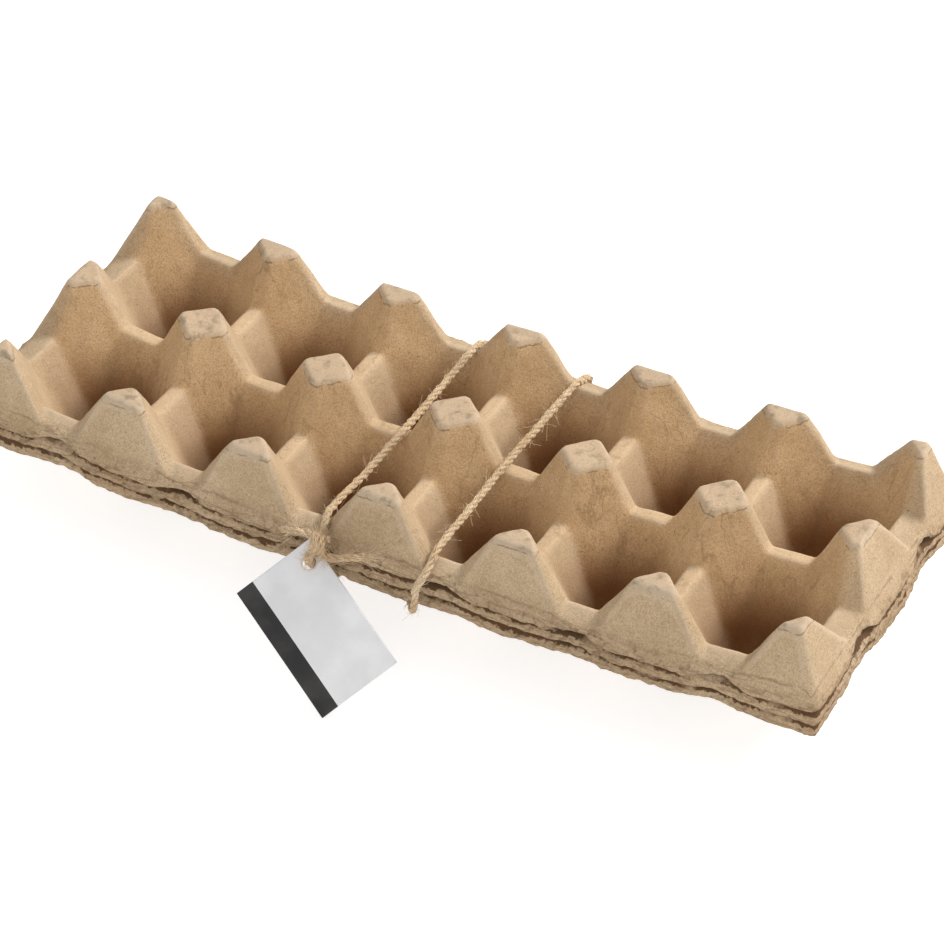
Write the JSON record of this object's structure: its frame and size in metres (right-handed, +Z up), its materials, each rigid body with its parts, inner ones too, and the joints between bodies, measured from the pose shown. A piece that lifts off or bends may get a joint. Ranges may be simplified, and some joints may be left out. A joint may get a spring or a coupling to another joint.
{
  "type": "stack of egg trays",
  "caption": "Nested moulded pulp egg trays with cups and flat-topped posts, tied round the middle with twine that carries a blank hang tag.",
  "frame": {"origin": "on the table, in the middle of the box round the trays, the twine and the tag", "axes": "+X along the long rows of cells, +Z up, the tag hangs on the -Y side"},
  "size_m": [0.3052, 0.1558, 0.0606],
  "materials": {
    "pulp": "matte, fibrous",
    "jute": "matte, twisted",
    "card": "slightly glossy"
  },
  "bodies": {
    "root": {"tray_top": "pulp", "tray_middle": "pulp", "tray_bottom": "pulp", "twine": "jute", "hang_tag": "card"}
  },
  "joints": []
}
